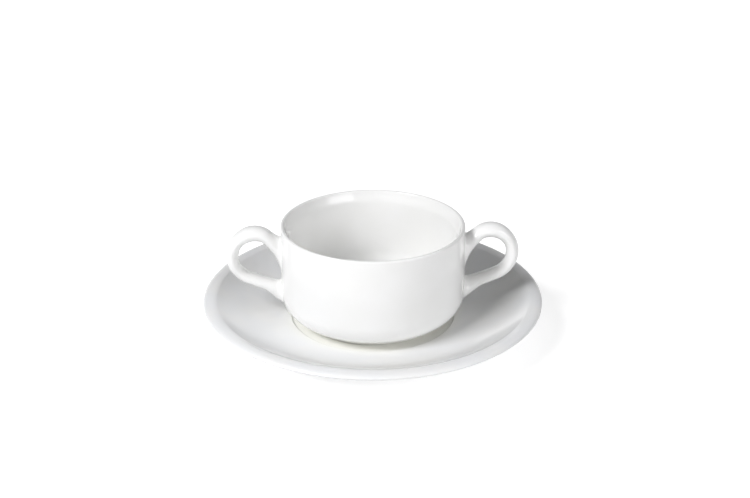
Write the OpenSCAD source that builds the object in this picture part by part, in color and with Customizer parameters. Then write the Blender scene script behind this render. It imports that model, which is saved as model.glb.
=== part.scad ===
// Two-handled stacking soup bowl on its saucer, in glazed white porcelain.
// The origin is on the table, under the middle of the saucer. +Z is up, and the handles lie along X.

/* [Bowl] */
// Height of the bowl from its foot to the top of the rim
bowl_h = 52.4; // [46:0.1:70]
// Diameter over the rim
rim_d = 96; // [86:0.5:120]
// How much wider the wall is at its foot than at the rim, over both sides
belly_swell = 0.7; // [0:0.1:3]
// Thickness of the rounded rim
lip_t = 2.2; // [1.6:0.1:3]
// Height of the bevel that thins the wall to the rim, on the inside
bevel_h = 5.3; // [2:0.1:8]
// Thickness of the wall
bowl_wall = 4.6; // [2.8:0.1:5.4]
// Thickness of the floor inside the foot ring
bowl_floor = 4; // [3:0.1:6]
// Width of the rounded shoulder between wall and foot
shoulder_w = 14.4; // [10:0.1:17]
// Height of the rounded shoulder
shoulder_h = 13.3; // [9:0.1:16]
// Radius of the round corner between wall and floor, on the inside
bowl_inner_r = 12; // [8:0.5:16]

/* [Bowl foot] */
// Diameter over the foot ring where it stands
bowl_foot_d = 71.2; // [62:0.2:76]
// Width of the flat ring that the bowl stands on
bowl_land_w = 2.6; // [1.5:0.1:4]
// Height of the foot ring's outer side
bowl_foot_h = 2.5; // [1.5:0.1:3.5]
// How far each side of the foot ring leans over its height
foot_draft = 0.7; // [0.2:0.1:1.5]
// Depth of the hollow inside the foot ring
bowl_recess = 2; // [1:0.1:3]

/* [Handles] */
// Reach of a handle, from the bowl's axis to its outermost point
handle_reach = 76.9; // [68:0.1:84]
// Drop from the top of the rim to the middle of the handle's bend
handle_drop = 17.5; // [16:0.1:20]
// Radius of the bend, at the middle of the strand
handle_bend_r = 13.2; // [11:0.1:14]
// Slope at which both strands climb away from the wall, in degrees
handle_tilt = 21.5; // [15:0.5:28]
// Thickness of the strand at its upper root
strand_top_t = 8.8; // [6:0.1:10]
// Thickness of the strand at the middle of its bend
strand_bend_t = 6.7; // [5:0.1:9]
// Thickness of the strand at its lower root
strand_low_t = 5.6; // [5:0.1:9]
// Width of the strand
strand_w = 10.4; // [8:0.1:13]
// How far the upper root spreads down the wall
upper_web = 12.6; // [4:0.1:13]
// How far the lower root spreads down the shoulder
lower_web = 4.6; // [2:0.1:6]
// How much each root swells to both sides, and the lower one upwards
root_swell = 1.2; // [0.2:0.1:2]
// Length of strand over which a root spreads
root_len = 10; // [5:0.5:12]
// How far the top of the strand falls away towards the wall
top_fall = 4.2; // [0:0.1:4.3]
// Length of strand over which its top falls away
fall_len = 18.5; // [8:0.5:20]

/* [Saucer] */
// Diameter of the saucer
saucer_d = 179; // [170:0.1:200]
// Height of the saucer from the table to the top of its edge
saucer_h = 20.4; // [18:0.1:26]
// Width of the rolled edge
edge_w = 8; // [6:0.1:10]
// Thickness of the rolled edge
edge_t = 3.6; // [3:0.1:5]
// Slope of the dish where it meets the rolled edge, in degrees
edge_slope = 34; // [28:1:36]
// Diameter of the well that the bowl stands in
well_d = 87.2; // [84:0.2:92]
// Depth of the well below the dish
well_depth = 0.8; // [0.5:0.1:1.5]
// Height of the well's floor above the table
well_z = 7; // [6:0.1:9]
// Thickness of the saucer under the well
saucer_floor = 4.5; // [3.5:0.1:5.5]
// Diameter over the saucer's foot ring where it stands
saucer_foot_d = 103; // [96:0.5:110]
// Width of the flat ring that the saucer stands on
saucer_land_w = 3; // [2:0.1:4]
// Height of the foot ring's outer side
saucer_foot_h = 4.2; // [3.5:0.1:5]

/* [Hidden] */

// The gap that the thin joint between handle and wall fills
joint_gap = 0.12;
// Radius of the small rounding beside each flat ring
land_round = 0.5;
// Width of the rounded step at the well's edge
well_step_w = 1.4;

// Steps along an arc of an outline, and facets of a full turn in a preview
ARC_STEPS = 12;
TURN = 180;
// Rings along a handle's bend, rings along each root, and sides of a ring
BEND_RINGS = 18;
ROOT_RINGS = 8;
SIDES = 24;
// Steps from the middle of a root's end face to its rim
CAP_STEPS = 3;
// How strongly the rings of a root crowd towards the wall
CROWDING = 1.3;
// How sharply a root spreads at the wall, and how sharply the upper web does
SPREADING = 1.6;
WEB_SPREADING = 2.4;

// Heights of the bowl
rim_z = well_z + bowl_h;
lip_r = lip_t / 2;
lip_z = rim_z - lip_r;
shoulder_foot_z = well_z + bowl_foot_h;
// Radii of the bowl
rim_r = rim_d / 2;
belly_r = rim_r + belly_swell / 2;
bowl_foot_r = bowl_foot_d / 2;
foot_top_r = bowl_foot_r + foot_draft;
// The shoulder is a quarter of an ellipse, cut off where it reaches the foot ring
shoulder_end = acos((foot_top_r - belly_r + shoulder_w) / shoulder_w);
shoulder_z = shoulder_foot_z + shoulder_h * sin(shoulder_end);
// The inside of the bowl
inner_r = belly_r - bowl_wall;
bowl_floor_z = well_z + bowl_recess + bowl_floor;

// The saucer's rolled edge is an ellipse that the dish and the underside meet at a tangent
edge_rx = edge_w / 2;
edge_rz = edge_t / 2;
edge_mid = [saucer_d / 2 - edge_rx, saucer_h - edge_rz];
dish_meets = atan2(edge_rz * cos(edge_slope), -edge_rx * sin(edge_slope));
dish_side = [edge_rx * cos(dish_meets), edge_rz * sin(dish_meets)];
well_r = well_d / 2;
well_edge_z = well_z + well_depth;
saucer_foot_r = saucer_foot_d / 2;

// The handle lies in the upright plane through its strand, where a place is [reach, height]
bend_mid = [handle_reach - strand_bend_t / 2 - handle_bend_r, rim_z - handle_drop];
// Both roots start at the wall's widest, and both strands climb away from it along the same slope
root_r = belly_r + joint_gap;
climb = [cos(handle_tilt), sin(handle_tilt)];
across = [-sin(handle_tilt), cos(handle_tilt)];
root_run_top = (bend_mid[0] + handle_bend_r * across[0] - root_r) / climb[0];
root_run_low = (bend_mid[0] - handle_bend_r * across[0] - root_r) / climb[0];

// Points of an elliptical arc from one angle to another, which can leave out its first point
function arc(mid, rx, rz, from, to, steps = ARC_STEPS, first = 0) =
    [for (i = [first : steps]) let (a = from + (to - from) * i / steps) mid + [rx * cos(a), rz * sin(a)]];

// Points on the circle that joins two ends and meets the second one at a given slope
function sweep_to(start, end, end_slope, steps = ARC_STEPS, last = 0) =
    let (
        chord = end - start,
        chord_slope = atan2(chord[1], chord[0]),
        half_turn = end_slope - chord_slope,
        bend = norm(chord) / (2 * sin(half_turn)),
        mid = end + bend * [-sin(end_slope), cos(end_slope)]
    )
    [for (i = [0 : steps - last])
        let (a = end_slope - 2 * half_turn * (1 - i / steps)) mid + bend * [sin(a), -cos(a)]];

// The same points in the other order
function back(points) = [for (i = [len(points) - 1 : -1 : 0]) points[i]];

// A foot ring, from its inner side to its outer side, with a flat land between two roundings
function foot_ring(outer_r, land_w, base_z, inner_h, outer_h) =
    let (land_r = outer_r - land_round - land_w, inner_side_r = land_r - land_round)
    [
        [inner_side_r - foot_draft, base_z + inner_h],
        [inner_side_r, base_z + land_round],
        [land_r, base_z],
        [outer_r - land_round, base_z],
        [outer_r, base_z + land_round],
        [outer_r + foot_draft, base_z + outer_h]
    ];

// The bowl's outer radius at a height, from the foot to the rim
function wall_r(z) = z >= shoulder_z
    ? belly_r - (belly_r - rim_r) * (z - shoulder_z) / (lip_z - shoulder_z)
    : belly_r - shoulder_w + shoulder_w * sqrt(1 - pow((shoulder_z - z) / shoulder_h, 2));

function bowl_outline() = concat(
    [[0, well_z + bowl_recess]],
    foot_ring(bowl_foot_r, bowl_land_w, well_z, bowl_recess, bowl_foot_h),
    arc([belly_r - shoulder_w, shoulder_z], shoulder_w, shoulder_h, -shoulder_end, 0, first = 1),
    arc([rim_r - lip_r, lip_z], lip_r, lip_r, 0, 180),
    [[inner_r, rim_z - bevel_h]],
    arc([inner_r - bowl_inner_r, bowl_floor_z + bowl_inner_r], bowl_inner_r, bowl_inner_r, 0, -90),
    [[0, bowl_floor_z]]
);

function saucer_outline() = concat(
    [[0, well_z - saucer_floor]],
    foot_ring(saucer_foot_r, saucer_land_w, 0, well_z - saucer_floor, saucer_foot_h),
    sweep_to([saucer_foot_r + 2 * foot_draft, saucer_foot_h], edge_mid - dish_side, edge_slope),
    arc(edge_mid, edge_rx, edge_rz, dish_meets - 180, 0, ARC_STEPS / 2, first = 1),
    arc(edge_mid, edge_rx, edge_rz, 0, 90, first = 1),
    arc(edge_mid, edge_rx, edge_rz, 90, dish_meets, ARC_STEPS / 2, first = 1),
    back(sweep_to([well_r, well_edge_z], edge_mid + dish_side, edge_slope, last = 1)),
    arc([well_r - well_step_w, well_edge_z], well_step_w, well_depth, -30, -90, ARC_STEPS / 3),
    [[0, well_z]]
);

// Eases from 0 to 1 with no jump in slope at either end
function ease(x) = let (c = min(1, max(0, x))) c * c * (3 - 2 * c);

// A place on the strand is [reach, height, angle of its outer side, distance from its root, share of the way]
function station_top(d) = concat(
    bend_mid + handle_bend_r * across - (root_run_top - d) * climb,
    [90 + handle_tilt * ease(d / root_len), d, 0]);
function station_bend(a) =
    let (root_run = a > 0 ? root_run_top : root_run_low)
    concat(
        bend_mid + handle_bend_r * [cos(handle_tilt + a), sin(handle_tilt + a)],
        [handle_tilt + a, root_run + handle_bend_r * PI * (90 - abs(a)) / 180, (90 - a) / 180]);
function station_low(d) = concat(
    bend_mid - handle_bend_r * across - (root_run_low - d) * climb,
    [-90 + handle_tilt * ease(d / root_len), d, 1]);

// From the upper root over the bend to the lower root
function root_step(i) = pow(i / ROOT_RINGS, CROWDING);
stations = concat(
    [for (i = [0 : ROOT_RINGS - 1]) station_top(root_run_top * root_step(i))],
    [for (i = [0 : BEND_RINGS]) station_bend(90 - 180 * i / BEND_RINGS)],
    [for (i = [ROOT_RINGS - 1 : -1 : 0]) station_low(root_run_low * root_step(i))]
);

// Half the strand's thickness at a share of the way round
function half_t(share) = share < 0.5
    ? (strand_top_t + (strand_bend_t - strand_top_t) * ease(2 * share)) / 2
    : (strand_bend_t + (strand_low_t - strand_bend_t) * ease(2 * share - 1)) / 2;

// How much of a root's spread is left at a distance from the wall
function spread(d, run = root_len, sharpness = SPREADING) = pow(max(0, 1 - d / run), sharpness);
// How far the outer and the inner side of the strand lie from its middle
function outer_t(s) = s[4] < 0.5
    ? half_t(s[4]) - top_fall * spread(s[3], fall_len)
    : half_t(s[4]) + lower_web * spread(s[3]);
function inner_t(s) = s[4] < 0.5
    ? half_t(s[4]) + upper_web * spread(s[3], sharpness = WEB_SPREADING)
    : half_t(s[4]) + root_swell * spread(s[3]);

// A point of a ring, which is an ellipse, at an angle round it and a share of the way from its middle
function ring_point(s, a, share) =
    let (
        t = (outer_t(s) - inner_t(s)) / 2 + share * (outer_t(s) + inner_t(s)) / 2 * sin(a),
        w = share * (strand_w / 2 + root_swell * spread(s[3])) * cos(a)
    )
    [s[0] + t * cos(s[2]), w, s[1] + t * sin(s[2])];

// The same point laid on the bowl's wall, with the joint's gap between
function on_wall(p) = [sqrt(pow(wall_r(p[2]) + joint_gap, 2) - pow(p[1], 2)), p[1], p[2]];

// The points of a root's end face inside its rim
function cap(s) = concat(
    [on_wall(ring_point(s, 0, 0))],
    [for (k = [1 : CAP_STEPS - 1]) for (j = [0 : SIDES - 1])
        on_wall(ring_point(s, 360 * j / SIDES, k / CAP_STEPS))]);

// Points run from the middle of the upper end face outwards, along the strand, and on to the lower end face
rings = len(stations);
cap_size = 1 + SIDES * (CAP_STEPS - 1);
low_cap = cap_size + SIDES * rings;
handle_points = concat(
    cap(stations[0]),
    [for (i = [0 : rings - 1]) for (j = [0 : SIDES - 1])
        let (p = ring_point(stations[i], 360 * j / SIDES, 1)) i == 0 || i == rings - 1 ? on_wall(p) : p],
    cap(stations[rings - 1]));

// Triangles between two rings of points, and from a middle point to a ring
function band(from, to) = [for (j = [0 : SIDES - 1]) let (k = (j + 1) % SIDES)
    each [[from + j, to + j, to + k], [from + j, to + k, from + k]]];
function fan(mid, ring) = [for (j = [0 : SIDES - 1]) [mid, ring + j, ring + (j + 1) % SIDES]];
function flip(faces) = [for (f = faces) [f[2], f[1], f[0]]];
// Where a ring of the lower end face starts, counted from its middle
function low_ring(k) = k == CAP_STEPS ? low_cap - SIDES : low_cap + 1 + (k - 1) * SIDES;

handle_faces = concat(
    fan(0, 1),
    [for (k = [0 : CAP_STEPS - 2]) each band(1 + k * SIDES, 1 + (k + 1) * SIDES)],
    [for (i = [0 : rings - 2]) each band(cap_size + i * SIDES, cap_size + (i + 1) * SIDES)],
    flip([for (k = [1 : CAP_STEPS - 1]) each band(low_ring(k), low_ring(k + 1))]),
    flip(fan(low_cap, low_ring(1))));

module handle() {
    polyhedron(handle_points, handle_faces, convexity = 4);
}

module saucer() {
    color("white")
        rotate_extrude($fn = TURN)
            polygon(saucer_outline());
}

module bowl() {
    color("whitesmoke")
        rotate_extrude($fn = TURN)
            polygon(bowl_outline());
}

module handle_left() {
    color("gainsboro")
        rotate([0, 0, 180])
            handle();
}

module handle_right() {
    color("gainsboro")
        handle();
}

saucer();
bowl();
handle_left();
handle_right();
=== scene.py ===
"""Looks of a two-handled stacking soup bowl on its saucer, in glazed white porcelain."""

import math

import bpy
from bpy.props import FloatProperty, FloatVectorProperty, IntProperty, PointerProperty
from mathutils import Matrix, Vector


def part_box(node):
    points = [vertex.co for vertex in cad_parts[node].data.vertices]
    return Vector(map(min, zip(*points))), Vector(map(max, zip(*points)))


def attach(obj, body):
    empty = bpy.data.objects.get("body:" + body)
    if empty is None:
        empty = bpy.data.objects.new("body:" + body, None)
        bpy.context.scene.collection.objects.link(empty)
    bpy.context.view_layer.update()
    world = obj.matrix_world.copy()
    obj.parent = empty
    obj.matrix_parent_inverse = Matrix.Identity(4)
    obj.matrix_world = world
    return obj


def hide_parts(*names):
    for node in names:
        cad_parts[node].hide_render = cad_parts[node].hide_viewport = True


bl_info = {
    "name": "Soup Bowl and Saucer",
    "version": (1, 0, 0),
    "blender": (4, 5, 0),
    "location": "3D View > Sidebar > Soup Bowl",
    "description": "Makes a glazed soup bowl with two handles, its saucer and a plain pale stage",
    "category": "Object",
}

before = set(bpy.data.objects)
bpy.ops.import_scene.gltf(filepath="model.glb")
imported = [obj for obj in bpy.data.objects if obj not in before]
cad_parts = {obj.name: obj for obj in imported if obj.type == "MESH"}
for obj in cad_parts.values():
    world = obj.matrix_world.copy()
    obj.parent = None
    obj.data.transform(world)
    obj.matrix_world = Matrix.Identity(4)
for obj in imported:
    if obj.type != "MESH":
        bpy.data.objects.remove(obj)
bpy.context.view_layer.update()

# Everything is in metres, and MM turns the maker's millimetres into them
MM = 0.001
UP = Vector((0, 0, 1))

# Soft waves that the wheel and the firing leave. Each has a share of the depth, its lobes in a
# turn, and the radians that it shifts in a metre of height. About their middle they span 0 to 1
WAVES = ((0.3, 2, 25), (0.2, 3, -40))
WAVE_MIDDLE = 0.5
BOWL_SEED, SAUCER_SEED = 4.2, 1.7

# Steps in which the curved stretches of the two outlines are drawn
SHOULDER_STEPS, LIP_STEPS, INSIDE_STEPS = 40, 18, 36
UNDER_STEPS, EDGE_STEPS, DISH_STEPS, WELL_STEPS = 40, 60, 48, 10
ROUNDING_STEPS = 6
# The most of a side that a corner's rounding takes up, so that two roundings never meet
ROUNDING_SHARE = 0.48
# Where the rounded step into the well begins, as an angle round its ellipse
WELL_START = math.radians(-30)
# How far down the shoulder's ellipse the wall is followed, short of the end where it lies flat
SHOULDER_LIMIT = 0.999
# Points of a turned outline that are closer than this become one
WELD = 1e-6

# The glaze's broad clouds and its fine specks: their scale and how many layers of detail they have
CLOUDS, CLOUD_DETAIL = 45, 3
SPECKS, SPECK_DETAIL = 700, 2
# The stretch of the clouds over which the glaze turns thin
THIN_RANGE = (0.35, 0.7)
# The specks vary the roughness between these shares of its set value
SMOOTHEST, ROUGHEST = 0.7, 1.4
# The strength and the depth of the faint bumps that they give the skin
SKIN_STRENGTH, SKIN_DEPTH = 0.12, 0.05 * MM
# The glaze's refraction, and the shader's level for its mirror-like share
GLAZE_IOR, GLAZE_SHINE = 1.52, 0.35
# The bare ring ends between these heights over its flat, and fades out sideways over this width
BARE_TOP, BARE_FULL, BARE_FADE = 0.35 * MM, 0.15 * MM, 0.2 * MM

# The floor has broad spots that are paler by this factor, and turns white between two distances
FLOOR_SPOTS, FLOOR_PALER, FLOOR_ROUGHNESS = 3, 1.02, 0.9
FAR_RANGE = (0.3, 1.2)
FLOOR_RINGS, FLOOR_SIDES = 12, 96
# The studio turns from horizon to ceiling between these heights on a unit sphere
CEILING_RANGE = (-0.05, 0.35)
WHITE = (1, 1, 1, 1)

# Width and height of each lamp, and the height above the table that both of them face
KEY_SIZE, FILL_SIZE = (0.7, 0.55), (0.9, 0.6)
LAMP_TARGET = 35 * MM
# Width of the camera's frame in millimetres, and the nearest distance in metres that it shows
FRAME_WIDTH, NEAREST = 36, 0.01


def number(name, description, default, **settings):
    """A number from 0 up that a user can change."""
    return FloatProperty(name=name, description=description, default=default, min=0, **settings)


def length(name, description, millimetres):
    """A size that a user can change, given in millimetres and kept in metres."""
    return number(name, description, millimetres * MM, precision=5, unit="LENGTH")


def angle(name, description, degrees):
    """An angle that a user can change, given in degrees and kept in radians."""
    return FloatProperty(
        name=name, description=description, default=math.radians(degrees), unit="ROTATION"
    )


def colour(name, description, rgb):
    """A colour that a user can change."""
    return FloatVectorProperty(
        name=name, description=description, default=rgb, min=0, max=1, size=3, subtype="COLOR"
    )


def turn_facets(default):
    """How many flat faces a turned piece has in one turn, which a user can change."""
    return IntProperty(name="Facets", description="Flat faces in one turn", default=default, min=32)


def top_of(node):
    """Height of a CAD node's top, in millimetres."""
    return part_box(node)[1][2] / MM


def reach_of(node):
    """How far a CAD node reaches along +X, in millimetres."""
    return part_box(node)[1][0] / MM


class BowlSizes(bpy.types.PropertyGroup):
    """Sizes of the bowl's turned body."""

    rim_z: length("Rim height", "Top of the rim above the table", top_of("bowl"))
    rim_r: length("Rim radius", "Outer radius at the rim", 48)
    belly_r: length("Belly radius", "Outer radius where the wall is widest", 48.35)
    lip_t: length("Lip thickness", "Thickness of the rounded rim", 2.2)
    bevel_h: length("Bevel height", "Height of the bevel inside the rim", 5.3)
    bevel_round: length("Bevel rounding", "Rounding where the bevel meets the wall", 8)
    wall: length("Wall", "Thickness of the wall", 4.6)
    shoulder_w: length("Shoulder width", "Width of the rounded shoulder", 14.4)
    shoulder_h: length("Shoulder height", "Height of the rounded shoulder", 13.3)
    floor_z: length("Floor height", "Height of the floor inside, above the table", 13)
    inner_r: length("Inner corner", "Radius between wall and floor, on the inside", 12)
    foot_z: length("Foot height", "Height of the foot's flat ring above the table", 7)
    foot_r: length("Foot radius", "Outer radius of the foot ring", 35.6)
    foot_h: length("Foot depth", "Height of the foot ring's outer side", 2.5)
    foot_draft: length("Foot draft", "How far each side of the foot ring leans", 0.7)
    foot_round: length("Foot rounding", "Rounding where the foot ring meets the shoulder", 1.2)
    land_w: length("Land width", "Width of the flat ring that the bowl stands on", 2.6)
    land_round: length("Land rounding", "Rounding beside the flat ring", 0.5)
    recess: length("Recess", "Depth of the hollow inside the foot ring", 2)
    recess_round: length("Recess rounding", "Rounding where the foot ring meets the hollow", 0.8)
    facets: turn_facets(256)


class HandleSizes(bpy.types.PropertyGroup):
    """Sizes of the two looped handles, which are alike."""

    reach: length("Reach", "From the bowl's axis to the outermost point", reach_of("handle_right"))
    drop: length("Drop", "From the top of the rim to the middle of the bend", 17.5)
    bend_r: length("Bend", "Radius of the bend, at the middle of the strand", 13.2)
    tilt: angle("Tilt", "Slope at which both strands climb away from the wall", 21.5)
    top_t: length("Top thickness", "Thickness of the strand at its upper root", 8.8)
    bend_t: length("Bend thickness", "Thickness of the strand at its bend", 6.7)
    low_t: length("Low thickness", "Thickness of the strand at its lower root", 5.6)
    strand_w: length("Width", "Width of the strand", 10.4)
    upper_web: length("Upper web", "How far the upper root spreads down the wall", 12.6)
    lower_web: length("Lower web", "How far the lower root spreads down the shoulder", 4.6)
    swell: length("Root swell", "Swelling of a root's flanks, and of the lower root's top", 1.2)
    root_len: length("Root length", "Length of strand over which a root spreads", 10)
    top_fall: length("Top fall", "How far the strand's top falls towards the wall", 4.2)
    fall_len: length("Fall length", "Length of strand over which its top falls", 18.5)
    fillet: length("Fillet", "Radius of the smoothed joint between root and wall", 3.2)
    feather: length("Feather", "How far the joint's feathered edge spreads over the wall", 0.8)
    tuck: length("Tuck", "How deep the joint's feathered edge lies in the wall", 0.03)


class SaucerSizes(bpy.types.PropertyGroup):
    """Sizes of the saucer."""

    top_z: length("Height", "Top of the rolled edge above the table", top_of("saucer"))
    radius: length("Radius", "Outer radius of the saucer", reach_of("saucer"))
    edge_w: length("Edge width", "Width of the rolled edge", 8)
    edge_t: length("Edge thickness", "Thickness of the rolled edge", 3.6)
    edge_slope: angle("Edge slope", "Slope of the dish where it meets the rolled edge", 34)
    well_r: length("Well radius", "Radius of the well that the bowl stands in", 43.6)
    well_z: length("Well height", "Height of the well's floor above the table", 7)
    well_depth: length("Well depth", "Depth of the well below the dish", 0.8)
    well_round: length("Well rounding", "Rounding where the dish meets the step into the well", 0.6)
    step_w: length("Step width", "Width of the rounded step at the well's edge", 1.4)
    floor_t: length("Floor", "Thickness under the well", 4.5)
    foot_r: length("Foot radius", "Outer radius of the foot ring", 51.5)
    foot_h: length("Foot depth", "Height of the foot ring's outer side", 4.2)
    foot_draft: length("Foot draft", "How far each side of the foot ring leans", 0.7)
    foot_round: length("Foot rounding", "Rounding where the foot ring meets the underside", 0.6)
    land_w: length("Land width", "Width of the flat ring that the saucer stands on", 3)
    land_round: length("Land rounding", "Rounding beside the flat ring", 0.5)
    recess_round: length("Recess rounding", "Rounding where the foot ring meets the hollow", 1)
    facets: turn_facets(320)


class GlazeLook(bpy.types.PropertyGroup):
    """Colours and finish of the porcelain."""

    body: colour("Glaze", "Colour of the bowl's glaze", (0.91, 0.91, 0.895))
    saucer: colour("Saucer glaze", "Colour of the saucer's cooler glaze", (0.9, 0.908, 0.915))
    thin: colour("Thin glaze", "Colour where the glaze runs thin", (0.925, 0.925, 0.915))
    # Pooled colour: glaze gathered in hollows, and also painted warm shade in the crevices round
    # the bowl's foot and the saucer's well and foot
    pooled_glaze_and_shade: colour("Pooled glaze", "Colour where the glaze gathers", (0.89, 0.888, 0.84))
    biscuit: colour("Biscuit", "Colour of the bare ground ring", (0.78, 0.765, 0.73))
    # How far the rings of pooled colour reach: partly gathered glaze, partly painted warm shade
    # where the bowl stands in the well and under the saucer's foot
    foot_pool_and_shade: length("Foot pool", "How far glaze gathers round the bowl's foot", 7)
    well_pool_and_shade: length("Well pool", "How far glaze gathers at the edge of the saucer's well", 12)
    well_inset: length("Well inset", "How far inside that edge it is deepest", 5)
    under_pool_and_shade: length("Under pool", "How far glaze gathers round the saucer's foot", 2)
    under_outset: length("Under outset", "How far outside the foot it is deepest", 1.2)
    ripple: length("Ripple", "Depth of the soft waves left by throwing and firing", 0.05)
    gloss: number("Roughness", "Roughness of the glaze", 0.09, max=1, subtype="FACTOR")
    dull: number("Bare roughness", "Roughness of the bare ring", 0.75, max=1, subtype="FACTOR")


class StageLook(bpy.types.PropertyGroup):
    """The plain pale stage, its light and the camera."""

    floor: colour("Floor", "Colour of the floor", (0.8, 0.8, 0.8))
    floor_lift: number("Floor lift", "White added to the floor near the bowl, as it is seen", 0.66)
    floor_r: length("Floor radius", "Radius of the floor", 6000)
    horizon: number("Horizon light", "Light that comes from the horizon", 0.05)
    zenith: number("Overhead light", "Light that comes from above", 0.13)
    ceiling: number("Ceiling", "How bright the ceiling looks in the glaze", 0.2)
    lamp_distance: length("Lamp distance", "Distance of both lamps", 1500)
    lamp_tint: colour("Lamp colour", "Colour of both lamps", (0.985, 0.985, 1.0))
    key_power: number("Key lamp", "Power of the key lamp", 19.4, unit="POWER")
    key_side: angle("Key side", "How far left of square to the handles the key lamp stands", 57)
    key_height: angle("Key height", "Height of the key lamp above the horizon", 40)
    fill_power: number("Fill lamp", "Power of the fill lamp", 8.9, unit="POWER")
    fill_side: angle("Fill side", "How far right of square to the handles the fill lamp stands", 43)
    fill_height: angle("Fill height", "Height of the fill lamp above the horizon", 20)
    camera_distance: length("Camera distance", "From the camera to the middle of the rim", 629)
    camera_height: angle("Camera height", "Angle at which the camera looks down on the rim", 23.31)
    camera_side: angle("Camera side", "How far left of square to the handles it stands", 2.4)
    camera_turn: angle("Camera turn", "How far right of the rim's middle the camera points", 0.11)
    camera_dip: angle("Camera dip", "How far below the rim's middle the camera points", 1.13)
    lens: number("Lens", "Focal length of the camera's lens", 58.18, unit="CAMERA")


def arc(mid, rx, rz, start, end, steps):
    """Points of an elliptical arc between two angles in radians."""
    turns = [start + (end - start) * i / steps for i in range(steps + 1)]
    return [(mid[0] + rx * math.cos(a), mid[1] + rz * math.sin(a)) for a in turns]


def sweep_to(start, end, end_slope, steps):
    """Points on the circle that joins two ends and meets the second one at a given slope."""
    run, rise = end[0] - start[0], end[1] - start[1]
    half_turn = end_slope - math.atan2(rise, run)
    bend = math.hypot(run, rise) / (2 * math.sin(half_turn))
    mid = (end[0] - bend * math.sin(end_slope), end[1] + bend * math.cos(end_slope))
    slopes = [end_slope - 2 * half_turn * (1 - i / steps) for i in range(steps + 1)]
    return [(mid[0] + bend * math.sin(a), mid[1] - bend * math.cos(a)) for a in slopes]


def rounded(before, corner, after, radius):
    """The corner between two points as a short arc that is tangent to both of its sides."""
    corner = Vector(corner)
    back, on = Vector(before) - corner, Vector(after) - corner
    half_opening = back.angle(on) / 2
    room = ROUNDING_SHARE * min(back.length, on.length)
    trim = min(radius / math.tan(half_opening), room)
    back.normalize()
    on.normalize()
    mid = corner + (back + on).normalized() * (trim / math.cos(half_opening))
    first, last = corner + back * trim - mid, corner + on * trim - mid
    turn = first.angle_signed(last)
    turns = [-turn * i / ROUNDING_STEPS for i in range(ROUNDING_STEPS + 1)]
    return [tuple(mid + Matrix.Rotation(a, 2) @ first) for a in turns]


def smoothed(outline, roundings):
    """The outline with some corners rounded. roundings gives radii by a corner's place in it."""
    points = []
    for i, corner in enumerate(outline):
        if i in roundings:
            points += rounded(outline[i - 1], corner, outline[i + 1], roundings[i])
        else:
            points.append(corner)
    return points


def land_radii(s):
    """Inner and outer radius of the ring that a foot stands on, with its rounded corners."""
    return s.foot_r - s.land_w - 2 * s.land_round, s.foot_r


def foot_ring(s, base_z, recess):
    """The four corners of a foot ring, from the hollow inside it to its outer side."""
    inner_r, outer_r = land_radii(s)
    return [
        (inner_r - s.foot_draft, base_z + recess),
        (inner_r, base_z),
        (outer_r, base_z),
        (outer_r + s.foot_draft, base_z + s.foot_h),
    ]


def foot_roundings(s):
    """Roundings of those four corners, which come straight after an outline's first point."""
    return {1: s.recess_round, 2: s.land_round, 3: s.land_round, 4: s.foot_round}


def shoulder(s):
    """Where the bowl's shoulder ends, as an angle round its ellipse, and the height of its top."""
    end = math.acos((s.foot_r + s.foot_draft - s.belly_r + s.shoulder_w) / s.shoulder_w)
    return end, s.foot_z + s.foot_h + s.shoulder_h * math.sin(end)


def bowl_outline(s):
    """The bowl's cut outline as (radius, height), from under its middle to its floor inside."""
    end, shoulder_z = shoulder(s)
    shoulder_mid = (s.belly_r - s.shoulder_w, shoulder_z)
    lip_r = s.lip_t / 2
    lip_mid = (s.rim_r - lip_r, s.rim_z - lip_r)
    inner_r = s.belly_r - s.wall
    inside_mid = (inner_r - s.inner_r, s.floor_z + s.inner_r)
    under = [(0, s.foot_z + s.recess)] + foot_ring(s, s.foot_z, s.recess)
    side = arc(shoulder_mid, s.shoulder_w, s.shoulder_h, -end, 0, SHOULDER_STEPS)[1:]
    lip = arc(lip_mid, lip_r, lip_r, 0, math.pi, LIP_STEPS)
    bevel = [(inner_r, s.rim_z - s.bevel_h)]
    inside = arc(inside_mid, s.inner_r, s.inner_r, 0, -math.pi / 2, INSIDE_STEPS)
    outline = under + side + lip + bevel + inside + [(0, s.floor_z)]
    bevel_at = len(under + side + lip)
    return smoothed(outline, {**foot_roundings(s), bevel_at: s.bevel_round})


def saucer_outline(s):
    """The saucer's cut outline as (radius, height), from under its middle to that of its well."""
    rx, rz = s.edge_w / 2, s.edge_t / 2
    mid = (s.radius - rx, s.top_z - rz)
    meets = math.atan2(rz * math.cos(s.edge_slope), -rx * math.sin(s.edge_slope))
    inner_end = (mid[0] + rx * math.cos(meets), mid[1] + rz * math.sin(meets))
    outer_end = (mid[0] - rx * math.cos(meets), mid[1] - rz * math.sin(meets))
    well_edge = (s.well_r, s.well_z + s.well_depth)
    step_mid = (s.well_r - s.step_w, well_edge[1])
    recess = s.well_z - s.floor_t
    under = [(0, recess)] + foot_ring(s, 0, recess)
    # The underside starts a little outside the foot, which leaves room to round the corner there
    side = sweep_to((s.foot_r + 2 * s.foot_draft, s.foot_h), outer_end, s.edge_slope, UNDER_STEPS)
    edge = arc(mid, rx, rz, meets - math.pi, meets, EDGE_STEPS)[1:]
    dish = sweep_to(well_edge, inner_end, s.edge_slope, DISH_STEPS)[:-1]
    step = arc(step_mid, s.step_w, s.well_depth, WELL_START, -math.pi / 2, WELL_STEPS)
    outline = under + side + edge + dish[::-1] + step + [(0, s.well_z)]
    well_at = len(under + side + edge + dish) - 1
    return smoothed(outline, {**foot_roundings(s), well_at: s.well_round})


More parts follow.
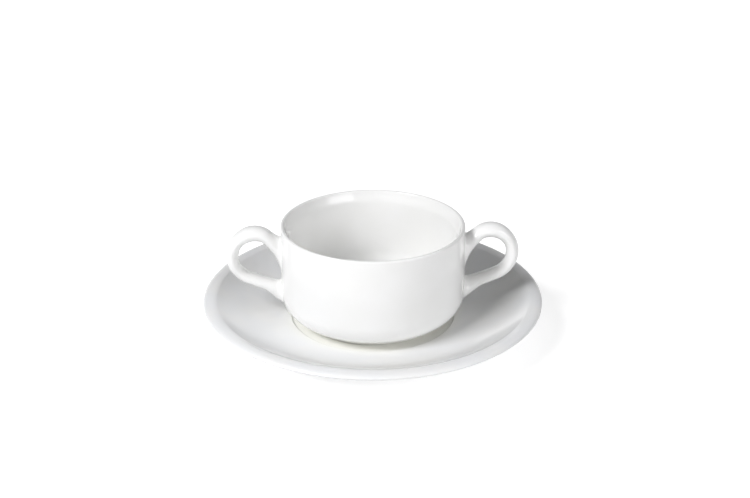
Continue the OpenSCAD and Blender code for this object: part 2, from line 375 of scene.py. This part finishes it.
def mesh_object(name, points, edges=(), faces=()):
    """A new object of the scene, with its mesh."""
    mesh = bpy.data.meshes.new(name)
    mesh.from_pydata(points, edges, faces)
    mesh.update()
    thing = bpy.data.objects.new(name, mesh)
    bpy.context.scene.collection.objects.link(thing)
    return thing


def feed(tree, socket, value):
    """Links another node's output to a socket, or sets the socket to a plain value."""
    if isinstance(value, bpy.types.NodeSocket):
        tree.links.new(value, socket)
    else:
        socket.default_value = value


def add_node(tree, kind, at, inputs=None, **settings):
    """A new node with its settings. inputs gives what is fed to it, by an input's name or place."""
    node = tree.nodes.new(kind)
    node.location = at
    for name, value in settings.items():
        setattr(node, name, value)
    for key, value in (inputs or {}).items():
        feed(tree, node.inputs[key], value)
    return node


def math_node(tree, operation, at, *values):
    """The result of a Math node whose inputs are numbers or other nodes' outputs."""
    node = add_node(tree, "ShaderNodeMath", at, dict(enumerate(values)), operation=operation)
    return node.outputs[0]


def joined(tree, at, *parts):
    """A vector of numbers or other nodes' outputs."""
    return add_node(tree, "ShaderNodeCombineXYZ", at, dict(enumerate(parts))).outputs[0]


def split(tree, at, vector):
    """The three parts of a vector."""
    return add_node(tree, "ShaderNodeSeparateXYZ", at, {0: vector}).outputs


def lathe_tree():
    """Turns an outline in the XZ plane round Z, with the soft waves that a wheel leaves in clay."""
    tree = bpy.data.node_groups.new("Lathe", "GeometryNodeTree")
    tree.is_modifier = True
    for title, kind, default in (
        ("Outline", "Geometry", None),
        ("Facets", "Int", 256),
        ("Ripple", "Float", 0.0),
        ("Seed", "Float", 1.0),
        ("Finish", "Material", None),
    ):
        socket = tree.interface.new_socket(title, in_out="INPUT", socket_type="NodeSocket" + kind)
        if default is not None:
            socket.default_value = default
    tree.interface.new_socket("Body", in_out="OUTPUT", socket_type="NodeSocketGeometry")

    given = add_node(tree, "NodeGroupInput", (-1400, 0)).outputs
    outline = {"Geometry": given["Outline"]}
    size = add_node(tree, "GeometryNodeAttributeDomainSize", (-1200, 200), outline)
    count = size.outputs["Point Count"]
    columns = math_node(tree, "ADD", (-1200, 0), given["Facets"], 1)
    corners = {"Vertices X": columns, "Vertices Y": count}
    grid = add_node(tree, "GeometryNodeMeshGrid", (-1000, 200), corners)

    # A point's place in the grid says how far round it is and which outline point it stands for
    index = add_node(tree, "GeometryNodeInputIndex", (-1400, -200)).outputs[0]
    along = math_node(tree, "MODULO", (-1000, -200), index, count)
    column = math_node(tree, "DIVIDE", (-1200, -300), index, count)
    column = math_node(tree, "FLOOR", (-1000, -300), column)
    part = math_node(tree, "DIVIDE", (-800, -300), column, given["Facets"])
    turn = math_node(tree, "MULTIPLY", (-600, -300), part, math.tau)
    place = add_node(tree, "GeometryNodeInputPosition", (-1000, -500)).outputs[0]
    wanted = {"Geometry": given["Outline"], "Value": place, "Index": along}
    sample = add_node(
        tree, "GeometryNodeSampleIndex", (-800, -100), wanted, data_type="FLOAT_VECTOR"
    )
    reach, _, height = split(tree, (-600, -100), sample.outputs[0])

    # The waves run round the body and never reach past the outline
    waves = WAVE_MIDDLE
    for i, (share, lobes, climb) in enumerate(WAVES):
        row = -500 - 300 * i
        phase = math_node(tree, "MULTIPLY_ADD", (-600, row), turn, lobes, given["Seed"])
        phase = math_node(tree, "MULTIPLY_ADD", (-400, row), height, climb, phase)
        sine = math_node(tree, "SINE", (-200, row), phase)
        waves = math_node(tree, "MULTIPLY_ADD", (-50, row), sine, share, waves)
    wave = math_node(tree, "MULTIPLY", (0, -400), waves, given["Ripple"])
    radius = math_node(tree, "SUBTRACT", (0, -300), reach, wave)
    radius = math_node(tree, "MAXIMUM", (150, -300), radius, 0)
    x, y = (
        math_node(tree, "MULTIPLY", (300, row), radius, math_node(tree, circle, (150, row), turn))
        for circle, row in (("COSINE", -200), ("SINE", -400))
    )
    turned = joined(tree, (450, -100), x, y, height)

    body = grid.outputs["Mesh"]
    for i, (step, inputs) in enumerate((
        ("SetPosition", {"Position": turned}),
        ("MergeByDistance", {"Distance": WELD}),
        ("SetShadeSmooth", {}),
        ("RealizeInstances", {}),
        ("SetMaterial", {"Material": given["Finish"]}),
    )):
        at = (600 + 150 * i, 100)
        body = add_node(tree, "GeometryNode" + step, at, {0: body, **inputs}).outputs[0]
    add_node(tree, "NodeGroupOutput", (1350, 100), {"Body": body})
    return tree


def socket_id(tree, name):
    """The identifier by which a modifier knows one of its tree's inputs."""
    return next(item.identifier for item in tree.interface.items_tree if item.name == name)


def turned_piece(name, outline, seed, finish, facets):
    """A plain mesh turned from an outline of (radius, height)."""
    tree = bpy.data.node_groups.get("Lathe") or lathe_tree()
    points = [(r, 0, z) for r, z in outline]
    edges = [(i, i + 1) for i in range(len(points) - 1)]
    source = mesh_object(name + "_outline", points, edges)
    lathe = source.modifiers.new("Lathe", "NODES")
    lathe.node_group = tree
    ripple = bpy.context.scene.glaze_look.ripple
    values = {"Facets": facets, "Ripple": ripple, "Seed": seed, "Finish": finish}
    for title, value in values.items():
        lathe[socket_id(tree, title)] = value
    depsgraph = bpy.context.evaluated_depsgraph_get()
    turned = source.evaluated_get(depsgraph)
    mesh = bpy.data.meshes.new_from_object(turned, depsgraph=depsgraph)
    bpy.data.objects.remove(source)
    if len(mesh.polygons) < facets:
        raise RuntimeError(name + " came out empty")
    mesh.name = name
    piece = bpy.data.objects.new(name, mesh)
    bpy.context.scene.collection.objects.link(piece)
    return piece


def ease(x):
    """Goes from 0 to 1 with no jump in slope at either end."""
    x = min(1, max(0, x))
    return x * x * (3 - 2 * x)


def wall_point(s, depth, y, z, heading):
    """A place on the bowl's outer wall and the wall's normal there.

    depth is that of the waves, and heading is 0 on the right and pi on the left.
    """
    _, shoulder_z = shoulder(s)
    if z >= shoulder_z:
        rise = (z - shoulder_z) / (s.rim_z - s.lip_t / 2 - shoulder_z)
        radius, slope = s.belly_r + (s.rim_r - s.belly_r) * rise, 0.0
    else:
        drop = min(SHOULDER_LIMIT, (shoulder_z - z) / s.shoulder_h)
        left = math.sqrt(1 - drop**2)
        radius = s.belly_r - s.shoulder_w + s.shoulder_w * left
        slope = math.atan2(drop / s.shoulder_h, left / s.shoulder_w)
    turn = math.asin(y / radius)
    radius -= depth * (WAVE_MIDDLE + sum(
        share * math.sin((turn + heading) * lobes + BOWL_SEED + z * climb)
        for share, lobes, climb in WAVES
    ))
    out = Vector((math.cos(turn), math.sin(turn), 0))
    return out * radius + UP * z, out * math.cos(slope) - UP * math.sin(slope)


class Strand:
    """The path and the changing section of one handle, in the upright plane through it.

    A station is a ring's middle, the angle of its outer side, its distance from the wall and the
    share of the bend that lies above it. Roots are told apart by 1, the upper, and -1, the lower.
    """

    SIDES = 72
    BEND_STEPS = 56
    ROOT_STEPS = 26
    FILLET_STEPS = 14
    # How sharply a root spreads at the wall, and how sharply the upper web does
    SPREADING = 1.6
    WEB_SPREADING = 2.4
    # The share of the fillet that the slanting upper and lower sides get, beside the flanks
    SLANT_SHARE = 0.3
    # Distance from the wall, in fillets, at which a ring no longer follows the wall's curve
    SEATING = 2.5

    def __init__(self, bowl, handle, ripple, heading):
        self.bowl, self.h, self.ripple, self.heading = bowl, handle, ripple, heading
        h = handle
        self.mid = Vector((h.reach - h.bend_t / 2 - h.bend_r, bowl.rim_z - h.drop))
        self.climb = Vector((math.cos(h.tilt), math.sin(h.tilt)))
        self.across = Vector((-math.sin(h.tilt), math.cos(h.tilt)))
        self.run = {
            root: (self.mid[0] + root * h.bend_r * self.across[0] - bowl.belly_r) / self.climb[0]
            for root in (1, -1)
        }

    def distances(self, root):
        """Distances of a root's rings from the wall. Those of the fillet lie close together."""
        fillet, run = self.h.fillet, self.run[root]
        turns = [math.pi / 2 * i / self.FILLET_STEPS for i in range(self.FILLET_STEPS + 1)]
        near = [fillet * (1 - math.cos(a)) for a in turns]
        rest = [fillet + (run - fillet) * i / self.ROOT_STEPS for i in range(1, self.ROOT_STEPS)]
        return near + rest

    def root_stations(self, root, share):
        """The stations of a root, outwards. They lean over from upright until the bend begins."""
        h, run = self.h, self.run[root]
        lean = min(h.root_len, run)
        found = []
        for d in self.distances(root):
            middle = self.mid + root * h.bend_r * self.across - (run - d) * self.climb
            found.append((middle, root * math.pi / 2 + h.tilt * ease(d / lean), d, share))
        return found

    def stations(self):
        """All stations, from the upper root round the bend to the lower one."""
        h = self.h
        bend = []
        for i in range(self.BEND_STEPS + 1):
            a = math.pi / 2 - math.pi * i / self.BEND_STEPS
            middle = self.mid + h.bend_r * Vector((math.cos(h.tilt + a), math.sin(h.tilt + a)))
            d = self.run[1 if a > 0 else -1] + h.bend_r * (math.pi / 2 - abs(a))
            bend.append((middle, h.tilt + a, d, i / self.BEND_STEPS))
        return self.root_stations(1, 0.0) + bend + self.root_stations(-1, 1.0)[::-1]

    def half_thickness(self, share):
        """Half the strand's thickness, which changes from upper root to bend to lower root."""
        h = self.h
        if share < 0.5:
            return (h.top_t + (h.bend_t - h.top_t) * ease(2 * share)) / 2
        return (h.bend_t + (h.low_t - h.bend_t) * ease(2 * share - 1)) / 2

    def extents(self, station):
        """How far the outer side, the inner side and the flanks lie from the strand's middle."""
        h = self.h
        _, _, d, share = station
        left = max(0, 1 - d / h.root_len)
        spread = left**self.SPREADING
        if share < 0.5:
            fall = max(0, 1 - d / h.fall_len) ** self.SPREADING
            outer, inner = -h.top_fall * fall, h.upper_web * left**self.WEB_SPREADING
        else:
            outer, inner = h.lower_web * spread, h.swell * spread
        half = self.half_thickness(share)
        return half + outer, half + inner, h.strand_w / 2 + h.swell * spread

    def point(self, station, a, extra=0.0, depth=0.0):
        """A point of a ring, at an angle round the strand.

        extra widens the ring, and depth sinks it in the wall.
        """
        middle, tilt, d, _ = station
        outer, inner, flank = self.extents(station)
        fillet = self.h.fillet
        gather = fillet - math.sqrt(fillet**2 - (fillet - d) ** 2) if d < fillet else 0.0
        # Flanks meet the wall squarely, while the other two sides already run into it at a slant
        gather *= math.cos(a) ** 2 + self.SLANT_SHARE * math.sin(a) ** 2
        gather += extra
        t = (outer - inner) / 2 + ((outer + inner) / 2 + gather) * math.sin(a)
        y = (flank + gather) * math.cos(a)
        free = Vector((middle[0] + t * math.cos(tilt), y, middle[1] + t * math.sin(tilt)))
        on_wall, normal = wall_point(self.bowl, self.ripple, free[1], free[2], self.heading)
        seated = on_wall + normal * (d - depth)
        return seated.lerp(free, ease(d / (self.SEATING * fillet)))

    def mesh(self):
        """Points and faces of the handle that reaches along +X, closed at both ends in the wall."""
        stations = self.stations()
        angles = [math.tau * j / self.SIDES for j in range(self.SIDES)]
        feather = (self.h.feather, self.h.tuck)
        points = [self.point(stations[0], a, *feather) for a in angles]
        for station in stations:
            points += [self.point(station, a) for a in angles]
        points += [self.point(stations[-1], a, *feather) for a in angles]
        ends = (points[:self.SIDES], points[-self.SIDES:])
        first, last = len(points), len(points) + 1
        points += [sum(end, Vector()) / self.SIDES for end in ends]
        faces = []
        for j in range(self.SIDES):
            k = (j + 1) % self.SIDES
            faces.append((k, j, first))
            for ring in range(0, first - self.SIDES, self.SIDES):
                on = ring + self.SIDES
                faces.append((ring + j, ring + k, on + k, on + j))
            faces.append((first - self.SIDES + j, first - self.SIDES + k, last))
        return points, faces


def handle_piece(name, side, finish):
    """One handle, on the side of the bowl that side's sign gives along X."""
    scene = bpy.context.scene
    heading = 0 if side > 0 else math.pi
    strand = Strand(scene.bowl_sizes, scene.handle_sizes, scene.glaze_look.ripple, heading)
    points, faces = strand.mesh()
    turned = [(side * p[0], side * p[1], p[2]) for p in points]
    piece = mesh_object(name, turned, faces=faces)
    for polygon in piece.data.polygons:
        polygon.use_smooth = True
    piece.data.materials.append(finish)
    return piece


def shader(name):
    """A new material, its tree and its Principled shader."""
    material = bpy.data.materials.new(name)
    material.use_nodes = True
    tree = material.node_tree
    return material, tree, tree.nodes["Principled BSDF"]


# A Mix node's inputs share their names among its types, so they are fed by their places: 2 and 3
# for numbers, and 6 and 7 for colours
def mix_number(tree, at, factor, first, second):
    """Goes from one number to another as the factor goes from 0 to 1."""
    inputs = {0: factor, 2: first, 3: second}
    return add_node(tree, "ShaderNodeMix", at, inputs, data_type="FLOAT").outputs[0]


def mix_colour(tree, at, factor, first, second):
    """Goes from one colour to another as the factor goes from 0 to 1."""
    first, second = (
        end if isinstance(end, bpy.types.NodeSocket) else (*end, 1) for end in (first, second)
    )
    inputs = {0: factor, 6: first, 7: second}
    return add_node(tree, "ShaderNodeMix", at, inputs, data_type="RGBA").outputs[2]


def between(tree, at, value, low, high):
    """A factor that goes softly from 0 to 1 as a value goes from low to high, or down to it."""
    inputs = {"Value": value, "From Min": low, "From Max": high}
    node = add_node(tree, "ShaderNodeMapRange", at, inputs, interpolation_type="SMOOTHSTEP")
    return node.outputs[0]


def size_of(tree, at, vector):
    """The length of a vector."""
    node = add_node(tree, "ShaderNodeVectorMath", at, {0: vector}, operation="LENGTH")
    return node.outputs["Value"]


def noise(tree, at, place, scale, detail=2):
    """Soft random spots. A larger scale makes them smaller."""
    inputs = {"Vector": place, "Scale": scale, "Detail": detail}
    return add_node(tree, "ShaderNodeTexNoise", at, inputs).outputs[0]


def object_place(tree):
    """The place of a point on its object."""
    return add_node(tree, "ShaderNodeTexCoord", (-1600, 0)).outputs["Object"]


def glazed_porcelain(name, body, pools_and_shade=(), land=None):
    """Glossy glaze in a body colour.

    Each given pool is a (radius, height, reach) ring of gathered glaze and painted warm shade. land
    is the bare ring that the piece stands on, as (height, inner radius, outer radius).
    """
    look = bpy.context.scene.glaze_look
    material, tree, surface = shader(name)
    place = object_place(tree)
    x, y, z = split(tree, (-1400, 0), place)
    radius = size_of(tree, (-1000, 100), joined(tree, (-1200, 100), x, y))

    # The glaze lies unevenly, in broad clouds of thick and thin
    clouds = noise(tree, (-1200, 500), place, CLOUDS, CLOUD_DETAIL)
    thin = between(tree, (-1000, 500), clouds, *THIN_RANGE)
    shade = mix_colour(tree, (-700, 500), thin, body, look.thin)
    # Painted warm shade: near the pool rings the pooled colour, partly gathered glaze, darkens and
    # yellows the crevices at the foot and the well
    if pools_and_shade:
        pool_and_shade_mask = 0.0
        for shade_pool_r, shade_pool_z, reach in pools_and_shade:
            aside = math_node(tree, "SUBTRACT", (-900, 200), radius, shade_pool_r)
            above = math_node(tree, "SUBTRACT", (-900, 100), z, shade_pool_z)
            away = size_of(tree, (-700, 200), joined(tree, (-800, 200), aside, above))
            near = between(tree, (-600, 200), away, reach, 0)
            pool_and_shade_mask = math_node(tree, "MAXIMUM", (-450, 200), pool_and_shade_mask, near)
        shade = mix_colour(tree, (-400, 400), pool_and_shade_mask, shade, look.pooled_glaze_and_shade)

    # Fine specks vary the gloss and give the skin its faint grain
    specks = noise(tree, (-1200, -300), place, SPECKS, SPECK_DETAIL)
    rough = add_node(tree, "ShaderNodeMapRange", (-700, -200), {
        "Value": specks, "To Min": look.gloss * SMOOTHEST, "To Max": look.gloss * ROUGHEST,
    }).outputs[0]
    if land is not None:
        base_z, inner_r, outer_r = land
        low = between(tree, (-900, -500), z, base_z + BARE_TOP, base_z + BARE_FULL)
        inside = between(tree, (-900, -650), radius, inner_r - BARE_FADE, inner_r)
        outside = between(tree, (-900, -800), radius, outer_r + BARE_FADE, outer_r)
        ring = math_node(tree, "MULTIPLY", (-700, -650), inside, outside)
        bare = math_node(tree, "MULTIPLY", (-550, -600), low, ring)
        shade = mix_colour(tree, (-250, 300), bare, shade, look.biscuit)
        rough = mix_number(tree, (-250, -200), bare, rough, look.dull)
    skin = add_node(tree, "ShaderNodeBump", (-300, -500), {
        "Strength": SKIN_STRENGTH, "Distance": SKIN_DEPTH, "Height": specks,
    }).outputs[0]

    for title, value in (
        ("Base Color", shade),
        ("Roughness", rough),
        ("Normal", skin),
        ("IOR", GLAZE_IOR),
        ("Specular IOR Level", GLAZE_SHINE),
    ):
        feed(tree, surface.inputs[title], value)
    return material


def seen_by_eye_or_gloss(tree):
    """1 for rays from the camera, a reflection or a refraction, and 0 for light on the object."""
    path = add_node(tree, "ShaderNodeLightPath", (-800, -200)).outputs
    seen = math_node(tree, "MAXIMUM", (-600, -200), path["Is Camera Ray"], path["Is Glossy Ray"])
    return math_node(tree, "MAXIMUM", (-450, -200), seen, path["Is Transmission Ray"])


def pale_floor(look):
    """A matt pale floor that keeps shadows, lifted to white for the eye, and more so far away."""
    material, tree, surface = shader("pale_floor")
    place = object_place(tree)
    grain = noise(tree, (-600, 200), place, FLOOR_SPOTS)
    paler = [min(1, c * FLOOR_PALER) for c in look.floor]
    far = between(tree, (-550, 0), size_of(tree, (-700, 0), place), *FAR_RANGE)
    lift = look.floor_lift
    added = math_node(tree, "MULTIPLY_ADD", (-400, 0), far, 1 - lift, lift)
    shown = math_node(tree, "MULTIPLY", (-250, -200), seen_by_eye_or_gloss(tree), added)
    for title, value in (
        ("Base Color", mix_colour(tree, (-400, 200), grain, look.floor, paler)),
        ("Roughness", FLOOR_ROUGHNESS),
        ("Specular IOR Level", 0.0),
        ("Emission Color", WHITE),
        ("Emission Strength", shown),
    ):
        feed(tree, surface.inputs[title], value)
    return material


def studio_world(look):
    """Gives weak light, more of it from above. To the eye it is white, and dimmer overhead."""
    world = bpy.data.worlds.new("studio")
    world.use_nodes = True
    tree = world.node_tree
    direction = add_node(tree, "ShaderNodeTexCoord", (-1000, 0)).outputs["Generated"]
    height = split(tree, (-800, 0), direction)[2]
    overhead = between(tree, (-600, 0), height, *CEILING_RANGE)
    light = mix_number(tree, (-400, 0), overhead, look.horizon, look.zenith)
    shown = mix_number(tree, (-400, 200), overhead, 1.0, look.ceiling)
    strength = mix_number(tree, (-200, 0), seen_by_eye_or_gloss(tree), light, shown)
    background = tree.nodes["Background"]
    feed(tree, background.inputs["Strength"], strength)
    feed(tree, background.inputs["Color"], WHITE)
    return world


def floor_piece(look):
    """A large round floor at the height that the saucer stands on."""
    turns = [math.tau * j / FLOOR_SIDES for j in range(FLOOR_SIDES)]
    points, faces = [(0, 0, 0)], []
    for i in range(1, FLOOR_RINGS + 1):
        radius = look.floor_r * (i / FLOOR_RINGS) ** 2
        points += [(radius * math.cos(a), radius * math.sin(a), 0) for a in turns]
    for j in range(FLOOR_SIDES):
        k = (j + 1) % FLOOR_SIDES
        faces.append((0, 1 + j, 1 + k))
        for i in range(FLOOR_RINGS - 1):
            a, b = 1 + i * FLOOR_SIDES, 1 + (i + 1) * FLOOR_SIDES
            faces.append((a + j, b + j, b + k, a + k))
    floor = mesh_object("floor", points, faces=faces)
    floor.data.materials.append(pale_floor(look))
    return floor


def aim(thing, direction):
    """Turns a lamp or the camera so that it looks in a direction."""
    thing.rotation_mode = "QUATERNION"
    thing.rotation_quaternion = direction.to_track_quat("-Z", "Y")


def way_to(side, height):
    """The direction that lies one angle to the right of square to the handles, and another up."""
    return Vector((math.sin(side), -math.cos(side), 0)) * math.cos(height) + UP * math.sin(height)


def soft_lamp(look, name, power, side, height, size):
    """A rectangular soft lamp that faces the bowl from the given side and height."""
    light = bpy.data.lights.new(name, "AREA")
    light.shape = "RECTANGLE"
    light.size, light.size_y = size
    light.energy = power
    light.color = look.lamp_tint
    lamp = bpy.data.objects.new(name, light)
    away = way_to(side, height)
    lamp.location = UP * LAMP_TARGET + away * look.lamp_distance
    aim(lamp, -away)
    bpy.context.scene.collection.objects.link(lamp)


def photo_camera(look, rim_middle):
    """The camera at the photograph's angle, placed and aimed from the middle of the rim."""
    data = bpy.data.cameras.new("camera")
    data.lens = look.lens
    data.sensor_width = FRAME_WIDTH
    data.sensor_fit = "HORIZONTAL"
    data.clip_start = NEAREST
    camera = bpy.data.objects.new("camera", data)
    side, height = look.camera_side, look.camera_height
    camera.location = rim_middle + way_to(-side, height) * look.camera_distance
    aim(camera, -way_to(-side - look.camera_turn, height + look.camera_dip))
    bpy.context.scene.collection.objects.link(camera)
    bpy.context.scene.camera = camera


class SOUPBOWL_OT_saucer(bpy.types.Operator):
    """Make the saucer"""

    bl_idname = "soupbowl.saucer"
    bl_label = "Make Saucer"

    def execute(self, context):
        s = context.scene.saucer_sizes
        look = context.scene.glaze_look
        # The rings at the well's edge and round the foot carry painted warm shade as well as
        # gathered glaze
        pools_and_shade = [
            (s.well_r - look.well_inset, s.well_z, look.well_pool_and_shade),
            (s.foot_r + look.under_outset, s.foot_h, look.under_pool_and_shade),
        ]
        finish = glazed_porcelain("saucer_glaze", look.saucer, pools_and_shade, (0.0, *land_radii(s)))
        piece = turned_piece("saucer_glazed", saucer_outline(s), SAUCER_SEED, finish, s.facets)
        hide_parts("saucer")
        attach(piece, "saucer")
        return {"FINISHED"}


class SOUPBOWL_OT_bowl(bpy.types.Operator):
    """Make the bowl's turned body"""

    bl_idname = "soupbowl.bowl"
    bl_label = "Make Bowl"

    def execute(self, context):
        s = context.scene.bowl_sizes
        look = context.scene.glaze_look
        # The ring round the foot carries painted warm shade, where the bowl meets the saucer, as
        # well as gathered glaze
        pools_and_shade = [(s.foot_r + s.foot_draft, s.foot_z + s.foot_h, look.foot_pool_and_shade)]
        finish = glazed_porcelain("bowl_glaze", look.body, pools_and_shade, (s.foot_z, *land_radii(s)))
        piece = turned_piece("bowl_glazed", bowl_outline(s), BOWL_SEED, finish, s.facets)
        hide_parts("bowl")
        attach(piece, "cup")
        return {"FINISHED"}


class SOUPBOWL_OT_handles(bpy.types.Operator):
    """Make both handles"""

    bl_idname = "soupbowl.handles"
    bl_label = "Make Handles"

    def execute(self, context):
        finish = glazed_porcelain("handle_glaze", context.scene.glaze_look.body)
        for name, side in (("handle_left", -1), ("handle_right", 1)):
            piece = handle_piece(name + "_glazed", side, finish)
            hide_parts(name)
            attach(piece, "cup")
        return {"FINISHED"}


class SOUPBOWL_OT_stage(bpy.types.Operator):
    """Make the pale floor, the light and the camera"""

    bl_idname = "soupbowl.stage"
    bl_label = "Make Stage"

    def execute(self, context):
        look = context.scene.stage_look
        bowl = context.scene.bowl_sizes
        floor_piece(look)
        context.scene.world = studio_world(look)
        soft_lamp(look, "key_lamp", look.key_power, -look.key_side, look.key_height, KEY_SIZE)
        soft_lamp(look, "fill_lamp", look.fill_power, look.fill_side, look.fill_height, FILL_SIZE)
        photo_camera(look, UP * (bowl.rim_z - bowl.lip_t / 2))
        context.scene.view_settings.view_transform = "Standard"
        return {"FINISHED"}


class SOUPBOWL_PT_panel(bpy.types.Panel):
    """Lists the pieces and their sizes"""

    bl_label = "Soup Bowl"
    bl_idname = "SOUPBOWL_PT_panel"
    bl_space_type = "VIEW_3D"
    bl_region_type = "UI"
    bl_category = "Soup Bowl"

    def draw(self, context):
        layout = self.layout
        for operator in OPERATORS:
            layout.operator(operator.bl_idname)
        for title, group in GROUPS.items():
            box = layout.box()
            box.label(text=group.__doc__.rstrip("."))
            held = getattr(context.scene, title)
            for name in group.__annotations__:
                box.prop(held, name)


GROUPS = {
    "bowl_sizes": BowlSizes,
    "handle_sizes": HandleSizes,
    "saucer_sizes": SaucerSizes,
    "glaze_look": GlazeLook,
    "stage_look": StageLook,
}
OPERATORS = (SOUPBOWL_OT_saucer, SOUPBOWL_OT_bowl, SOUPBOWL_OT_handles, SOUPBOWL_OT_stage)
CLASSES = (*GROUPS.values(), *OPERATORS, SOUPBOWL_PT_panel)


def register():
    """Makes the classes known to Blender and gives every scene its sizes and looks."""
    for part in CLASSES:
        bpy.utils.register_class(part)
    for title, group in GROUPS.items():
        setattr(bpy.types.Scene, title, PointerProperty(type=group))


def unregister():
    """Takes back what register did."""
    for title in GROUPS:
        delattr(bpy.types.Scene, title)
    for part in reversed(CLASSES):
        bpy.utils.unregister_class(part)


def main():
    """Makes every piece and the stage."""
    register()
    bpy.ops.soupbowl.saucer()
    bpy.ops.soupbowl.bowl()
    bpy.ops.soupbowl.handles()
    bpy.ops.soupbowl.stage()


if __name__ == "__main__":
    main()
